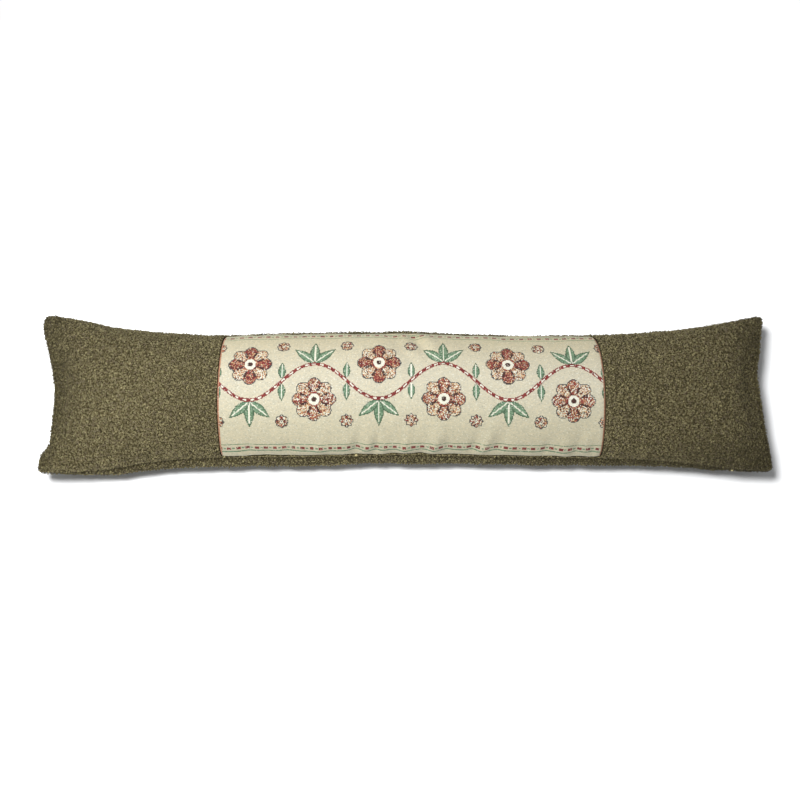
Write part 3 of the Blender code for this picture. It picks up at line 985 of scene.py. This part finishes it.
def tapestry_pattern(u, v):
    """Index of the thread or blend at each u and v, in mm from the panel's middle."""
    names = list(THREADS) + list(BLENDS)
    out = np.full(u.shape, names.index("ground"))

    def lay(where, name):
        out[where] = names.index(name)

    dash = u % DASH_PITCH_MM
    for side in (-1, 1):
        for stripe in STRIPES:
            on_stripe = np.abs(side * v - stripe.middle) < stripe.half_width
            lay(on_stripe & (dash > stripe.after) & (dash < stripe.before), stripe.thread)
    v = v - VINE_RISE_MM

    wave = VINE_LENGTH_MM
    stem = VINE_HEIGHT_MM * np.sin(2 * math.pi * u / wave)
    slope = VINE_HEIGHT_MM * 2 * math.pi / wave * np.cos(2 * math.pi * u / wave)
    from_stem = np.abs(v - stem) / np.sqrt(1 + slope**2)

    def leaf(at, angle, length, width):
        turn = math.radians(angle)
        along = (u - at[0]) * math.cos(turn) + (v - at[1]) * math.sin(turn)
        beside = np.abs((v - at[1]) * math.cos(turn) - (u - at[0]) * math.sin(turn))
        t = np.clip(along / length, 0.0, 1.0)
        half = width / 2 * np.sin(math.pi * t**0.8)
        inside = (along > 0) & (along < length)
        lay(inside & (beside < half), "dark green")
        lay(inside & (beside < half - 1.4), "green")
        lay(inside & (beside < 0.7) & (half > 1.5) & (t < 0.85), "cream")

    def rosette(at, size, first, second):
        du, dv = u - at[0], v - at[1]
        r, turn = np.hypot(du, dv), np.arctan2(dv, du)
        edge = size * (0.80 + 0.20 * np.abs(np.cos(4 * turn)))
        petal = np.floor((turn + math.pi / 8) / (math.pi / 4)).astype(int) % 2
        lay(r < edge + 1.3, "charcoal")
        lay((r < edge) & (petal == 0), first)
        lay((r < edge) & (petal == 1), second)
        lay((r < edge * 0.86) & (np.abs(np.sin(4 * turn)) > 0.93) & (r > size * 0.35), "brown")
        for share, thread in ROSETTE_HEART:
            lay(r < size * share, thread)

    for k in VINE_HALVES:
        middle = k * wave / 2
        leaf((middle, 3), 90, *STEM_LEAF)
        leaf((middle, -3), -90, *STEM_LEAF)
        rosette((middle, SMALL_ROSETTE_RISE), SMALL_ROSETTE, "sandy", "warm")
        rosette((middle, -SMALL_ROSETTE_RISE), SMALL_ROSETTE, "warm", "sandy")
        up = 1 if k % 2 == 0 else -1
        for angle in CREST_ANGLES:
            at = (middle + wave / 4, up * (VINE_HEIGHT_MM + 2))
            leaf(at, up * angle, *CREST_LEAF)
    lay(from_stem < 2.0, "brick")
    lay((from_stem < 0.8) & (u % 9 < 4), "cream")
    for k in VINE_HALVES:
        first, up = ("warm", 1) if k % 2 == 0 else ("berry", -1)
        at = (k * wave / 2 + wave / 4, -up * VINE_HEIGHT_MM)
        rosette(at, LARGE_ROSETTE, first, "sandy")

    lay(PANEL_LENGTH / MM / 2 - np.abs(u) < EDGE_THREADS_MM, "edge")
    # Painted highlight: a cream band along the lower edge, where the turned edge catches the light
    lay(v + VINE_RISE_MM < LOWER_EDGE_HIGHLIGHT_MM - HALF_ACROSS / MM, "cream")
    return out


def thread_colours(pattern, rng):
    """A colour for each cell, one of its thread's shades, in short runs."""
    rows, columns = pattern.shape
    names = list(THREADS)
    pattern = pattern.copy()
    for index, blend in enumerate(BLENDS.values(), start=len(names)):
        here = pattern == index
        options = np.array([names.index(name) for name in blend])
        pattern[here] = options[rng.integers(0, len(options), here.sum())]
    shades = np.repeat(rng.random((rows // 2 + 1, columns)), 2, axis=0)[:rows]
    stray = rng.random((rows, columns))
    colours = np.empty((rows, columns, 3))
    for index, options in enumerate(THREADS.values()):
        here = pattern == index
        colours[here] = np.array(options)[(shades[here] * len(options)).astype(int)]
    strays = (
        (stray < LIGHT_STRAYS, LIGHTER, THREADS["cream"][0]),
        (stray > 1 - DARK_STRAYS, DARKER, THREADS["charcoal"][1]),
    )
    for here, share, colour in strays:
        colours[here] = colours[here] * (1 - share) + colour * share
    return colours * rng.uniform(*THREAD_BRIGHTNESS, (rows, columns, 1))


def folded_uvs(rows, columns):
    """The panel's bake map, its left half above its right half."""
    i, j = cell_corners(rows, columns)
    half, margin = (rows - 1) // 2 + 1, PANEL_MAP_MARGIN
    right = i[:, :1] >= half
    u = (i - np.where(right, half, 0)) / half
    v = j / (columns - 1) * (0.5 - 2 * margin) + np.where(right, margin, 0.5 + margin)
    return np.stack([u * (1 - 2 * margin) + margin, v], axis=2)


def panel_mesh(name, shift):
    """The tapestry panel, one thread colour to a cell."""
    rng = np.random.default_rng(PANEL_SEED)
    x_ends, gaps = (PANEL_LEFT, PANEL_RIGHT), (SEWN_GAP, SEWN_GAP)
    base = BOUCLE_THICK - TAPESTRY_THICK
    x, across, points = face_cloth(x_ends, gaps, WEAVE_CELL, base, PANEL_TURN, shift)
    relief = rng.normal(0.0, WEAVE_RELIEF, points.shape[:2])
    points = points + normals_of(face_section, x, across) * relief[..., None]
    grid = points.shape[:2]
    u = ((x[1:] + x[:-1]) / 2 - (PANEL_LEFT + PANEL_RIGHT) / 2) / MM
    v = (across[1:] + across[:-1]) / 2 * HALF_ACROSS / MM
    pattern = tapestry_pattern(*np.meshgrid(u, v, indexing="ij"))
    # The thread colours take the panel's drift of tone and painted shade
    tones_and_shade = [table_curve(PANEL_TONES_AND_SHADE, "across", shade, v) / MM for shade in ("red", "green", "blue")]
    colours = (thread_colours(pattern, rng) * np.stack(tones_and_shade, axis=1)).reshape(-1, 3)
    colours = np.repeat(colours, 4, axis=0)
    return mesh_object(name, points.reshape(-1, 3), grid_quads(*grid), folded_uvs(*grid), colours)


def ground_mesh(name, x_ends, gaps, shift):
    """The ground of a boucle end, with the grid that its curls are sewn to."""
    x, across, points = face_cloth(x_ends, gaps, GROUND_CELL, CURL_SINK, END_TURN, shift)
    grid = points.shape[:2]
    obj = mesh_object(name, points.reshape(-1, 3), grid_quads(*grid), grid_uvs(*grid))
    return obj, x, across * HALF_ACROSS, points


# Materials


def set_values(node, values):
    for socket, value in values.items():
        node.inputs[socket].default_value = value


def new_material(name, values):
    """A material, its tree and its shader, with these values on the shader."""
    material = bpy.data.materials.new(name)
    material.use_nodes = True
    tree = material.node_tree
    shader = tree.nodes["Principled BSDF"]
    set_values(shader, values)
    return material, tree, shader


def cloth_material(name, roughness, sheen):
    values = {"Roughness": roughness, "Sheen Weight": sheen}
    values |= {"Specular IOR Level": CLOTH_GLOSS, "Sheen Roughness": SHEEN_ROUGHNESS}
    return new_material(name, values)


def add_node(tree, kind, values, links):
    """A new node with these values and links on its sockets."""
    node = tree.nodes.new(f"ShaderNode{kind}")
    set_values(node, values)
    for socket, output in links.items():
        tree.links.new(output, node.inputs[socket])
    return node


def noise(tree, scale, detail=2.0):
    """Noise in the object's own coordinates, with its cells about 1/scale metres across."""
    place = {"Vector": tree.nodes.new("ShaderNodeTexCoord").outputs["Object"]}
    return add_node(tree, "TexNoise", {"Scale": scale, "Detail": detail}, place).outputs["Fac"]


def ramp(tree, value, places, colours):
    node = add_node(tree, "ValToRGB", {}, {"Fac": value})
    for element, place, colour in zip(node.color_ramp.elements, places, colours):
        element.position = place
        element.color = (*colour, 1.0)
    return node.outputs["Color"]


def bump(tree, shader, height, distance):
    node = add_node(tree, "Bump", {"Distance": distance}, {"Height": height})
    tree.links.new(node.outputs["Normal"], shader.inputs["Normal"])


def thread_material(finish):
    """Woollen thread in the mesh's own colours, a little uneven along its length."""
    material, tree, shader = cloth_material(finish.name, finish.roughness, finish.sheen)
    colour = tree.nodes.new("ShaderNodeVertexColor")
    colour.layer_name = "thread"
    greys = [(level,) * 3 for level in (finish.darkest, finish.brightest)]
    grey = ramp(tree, noise(tree, finish.scale), THREAD_STOPS, greys)
    product = tree.nodes.new("ShaderNodeMix")
    product.data_type, product.blend_type = "RGBA", "MULTIPLY"
    product.inputs["Factor"].default_value = 1.0
    tree.links.new(colour.outputs["Color"], product.inputs["A"])
    tree.links.new(grey, product.inputs["B"])
    tree.links.new(product.outputs["Result"], shader.inputs["Base Color"])
    bump(tree, shader, noise(tree, finish.scale * 2), finish.relief)
    return material


def ground_material():
    """The woollen ground under the curls, darkened in part as painted shade in the gaps between
    them.
    """
    material, tree, shader = cloth_material("boucle_ground", GROUND_ROUGHNESS, 0.0)
    speckle = noise(tree, GROUND_SCALE, GROUND_DETAIL)
    colour = ramp(tree, speckle, GROUND_STOPS, (GROUND_DARK, GROUND_LIGHT))
    tree.links.new(colour, shader.inputs["Base Color"])
    bump(tree, shader, noise(tree, GROUND_BUMP_SCALE), GROUND_RELIEF)
    return material


def dress(obj, material, node=None):
    """Gives a piece its material and its body, and hides the CAD node that it stands for."""
    obj.data.materials.append(material)
    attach(obj, "root")
    if node is not None:
        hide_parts(node)


# Studio


def stage_piece(name, corners, faces, material):
    data = bpy.data.meshes.new(name)
    data.from_pydata(corners, [], faces)
    data.materials.append(material)
    obj = add_object(name, data)
    obj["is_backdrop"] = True
    return obj


def studio_floor():
    """A round white floor."""
    matt = {"Base Color": FLOOR_COLOUR, "Roughness": 0.9, "Specular IOR Level": 0.0}
    turns = np.linspace(0.0, 2 * math.pi, FLOOR_SIDES, endpoint=False)
    corners = [(FLOOR_REACH * math.cos(turn), FLOOR_REACH * math.sin(turn), 0.0) for turn in turns]
    faces = [list(range(FLOOR_SIDES))]
    return stage_piece("studio_floor", corners, faces, new_material("studio_white", matt)[0])


def studio_backdrop():
    """White all round for the low views; only the camera sees it, so it lights nothing."""
    glow = {"Base Color": BLACK, "Emission Color": WHITE, "Emission Strength": 1.0}
    ends = (-BACKDROP_REACH, BACKDROP_REACH)
    corners = [(x, y, z) for x in ends for y in ends for z in ends]
    faces = [(0, 1, 3, 2), (4, 6, 7, 5), (0, 4, 5, 1), (2, 3, 7, 6), (0, 2, 6, 4), (1, 5, 7, 3)]
    obj = stage_piece("studio_backdrop", corners, faces, new_material("studio_bright", glow)[0])
    obj.visible_diffuse = obj.visible_glossy = obj.visible_transmission = False
    obj.visible_volume_scatter = obj.visible_shadow = False


def studio(pieces):
    """A floor and backdrop, a soft surround, and a lamp each for the pieces and the floor."""
    floor = studio_floor()
    studio_backdrop()

    world = bpy.data.worlds.new("studio")
    world.use_nodes = True
    light = {"Color": WHITE, "Strength": FILL_STRENGTH}
    set_values(world.node_tree.nodes["Background"], light)
    bpy.context.scene.world = world

    for lamp in LAMPS:
        data = bpy.data.lights.new(lamp.name, "AREA")
        data.shape = "SQUARE"
        data.size = lamp.size
        data.energy = lamp.power
        obj = add_object(lamp.name, data)
        obj.location = lamp.place
        towards = Vector(CAMERA_TARGET) - obj.location
        obj.rotation_euler = towards.to_track_quat("-Z", "Y").to_euler()
        lit = bpy.data.collections.new(f"{lamp.name}_lights")
        for target in [floor] if lamp.lights_floor else pieces:
            lit.objects.link(target)
        obj.light_linking.receiver_collection = lit


def camera():
    data = bpy.data.cameras.new("photo_camera")
    data.sensor_width = CAMERA_SENSOR
    data.lens = CAMERA_LENS
    obj = add_object("photo_camera", data)
    back = Vector((0.0, -math.sin(CAMERA_TILT), math.cos(CAMERA_TILT)))
    obj.location = Vector(CAMERA_TARGET) + back * CAMERA_DISTANCE
    obj.rotation_euler = (CAMERA_TILT, 0.0, 0.0)
    bpy.context.scene.camera = obj


# Sewing the pile on, and putting the pieces together


def lip_spread(rng):
    """Flat places of the curls along the cushion's rolled edge, in rows all round."""
    x, y = [], []
    for inset in LIP_ROWS:
        along = np.arange(-HALF_LENGTH + inset, HALF_LENGTH - inset, LIP_SPACING)
        across = np.arange(-HALF_ACROSS + inset, HALF_ACROSS - inset, LIP_SPACING)
        for side in (-1, 1):
            x += [along, np.full(len(across), side * (HALF_LENGTH - inset))]
            y += [np.full(len(along), side * (HALF_ACROSS - inset)), across]
    x, y = np.hstack(x), np.hstack(y)
    stray = CURL_STRAY * LIP_SPACING
    return x + rng.uniform(-stray, stray, len(x)), y + rng.uniform(-stray, stray, len(y))


def back_spread(spacing, rng):
    """Flat places of the curls all over the back, spread over its own width."""
    squeeze = FACE_ACROSS / BACK_ACROSS
    reach = (BACK_REACH[0], BACK_REACH[1] / squeeze)
    x, y = hex_spread((-reach[0], -reach[1]), reach, spacing, rng)
    return x, y * squeeze


def back_end_spread(rng):
    """Flat places of the curls where the back rolls up to the cushion's two end seams."""
    x, y = [], []
    for row, inset in enumerate(BACK_END_ROWS):
        start = -HALF_ACROSS + BACK_END_SPACING * (0.5 + 0.5 * (row % 2))
        across = np.arange(start, HALF_ACROSS, BACK_END_SPACING)
        for end in (-1, 1):
            x.append(np.full(len(across), end * (HALF_LENGTH - inset)))
            y.append(across + rng.uniform(-CURL_STRAY, CURL_STRAY, len(across)) * BACK_END_SPACING)
    return np.hstack(x), np.hstack(y)


def ring_spread(ring, rng):
    """Places and outward directions of the curls over the sewn line round the cushion."""
    line = np.hstack([ring, outward_of(ring)])
    line = np.vstack([line, line[:1]])
    steps = np.linalg.norm(np.diff(line[:, :3], axis=0), axis=1)
    along = np.hstack([[0.0], np.cumsum(steps)])
    count = int(along[-1] / RING_SPACING)
    wanted = (np.arange(count) + rng.uniform(-CURL_STRAY, CURL_STRAY, count)) * RING_SPACING
    read = np.stack([np.interp(wanted, along, values) for values in line.T], axis=1)
    read[:, 2] += rng.uniform(-RING_RISE, RING_RISE, count)
    return read[:, :3], unit(read[:, 3:])


def side_curls(name, side, parts, rng):
    """The curls of one long side, over the back, the face's lip and the sewn line."""
    halves = [[values[(part[0][:, 1] >= 0) == (side > 0)] for values in part] for part in parts]
    back_x, lip_x, sewn_x = (half[0][:, 0] for half in halves)
    over_panel = (side > 0) & (lip_x > PANEL_LEFT) & (lip_x < PANEL_RIGHT)
    # Painted shade: the rim over the panel, the lower flank and the lower sewn line are darkened as
    # if in shade, while the thread ends below are made pale
    lip_scale, lip_shade = np.where(over_panel, [[RIM_SCALE], [RIM_PAINTED_SHADE]], [[LIP_SCALE], [1.0]])
    back_shade = np.interp(back_x, FLANK_X, FLANK_PAINTED_SHADES if side < 0 else (1.0, 1.0))
    sewn_shade = np.full(len(sewn_x), UNDER_PAINTED_SHADE if side < 0 else 1.0)
    scale = np.hstack([np.ones(len(back_x)), lip_scale, np.full(len(sewn_x), LIP_SCALE)])
    shade = np.hstack([back_shade, lip_shade, sewn_shade])
    places, outward = map(np.vstack, zip(*halves))
    for end in THREAD_ENDS if side < 0 else ():
        away = places - np.array([end.x, end.y, end.z]) * MM
        nearest = np.argmin(np.linalg.norm(away, axis=1))
        scale[nearest], shade[nearest] = end.scale, end.brighter
    return curls(name, places, outward, rng, floor=0.0, scale=scale, shade=shade)


def edge_and_back_curls(face, back, ring):
    """The curls of the lip, the sewn line and the back: upper side, lower side and foot."""
    rng = np.random.default_rng(EDGE_SEED)
    x, across = body_lines()
    y = across * HALF_ACROSS
    lip = on_cloth(face, x, y, *lip_spread(rng))
    sewn = ring_spread(ring, rng)
    flat = np.hstack([back_spread(BACK_SPACING, rng), back_end_spread(rng)])
    places, inward = on_cloth(back, x, y, *flat)
    flank = places[:, 2] >= UNDERSIDE_BELOW
    parts = ((places[flank], -inward[flank]), lip, sewn)
    top = side_curls("cushion_curls_top", 1, parts, rng)
    bottom = side_curls("cushion_curls_bottom", -1, parts, rng)
    places, inward = on_cloth(back, x, y, *back_spread(FOOT_SPACING, rng))
    foot = places[:, 2] < UNDERSIDE_BELOW
    under = (places[foot], -inward[foot])
    return top, bottom, curls("cushion_curls_foot", *under, rng, floor=0.0, scale=FOOT_SCALE)


def main():
    yarn, tapestry = thread_material(YARN_FINISH), thread_material(WEAVE_FINISH)
    ground = ground_material()
    surfaces, shift = body_surfaces(), frame_shift()

    body = body_mesh("cushion_body", shift, surfaces)
    dress(body, ground, "cushion")

    panel = panel_mesh("tapestry_cloth", shift)
    dress(panel, tapestry, "tapestry_panel")

    pieces = [body, panel]
    for end in ENDS:
        rng = np.random.default_rng(end.seed)
        cloth, x, y, points = ground_mesh(f"{end.node}_cloth", end.x_ends, end.gaps, shift)
        low, high = (x[0] + end.clear[0], y[0] - EDGE_GAP), (x[-1] - end.clear[1], y[-1] + EDGE_GAP)
        places, normals = on_cloth(points, x, y, *hex_spread(low, high, END_SPACING, rng))
        loops = curls(f"{end.node}_curls", places, normals, rng)
        dress(cloth, ground, end.node)
        dress(loops, yarn)
        pieces += [cloth, loops]

    for loops in edge_and_back_curls(*(surface + shift for surface in surfaces)):
        dress(loops, yarn)
        pieces.append(loops)

    studio(pieces)
    camera()
    bpy.context.scene.view_settings.view_transform = "Standard"
    low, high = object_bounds()


main()
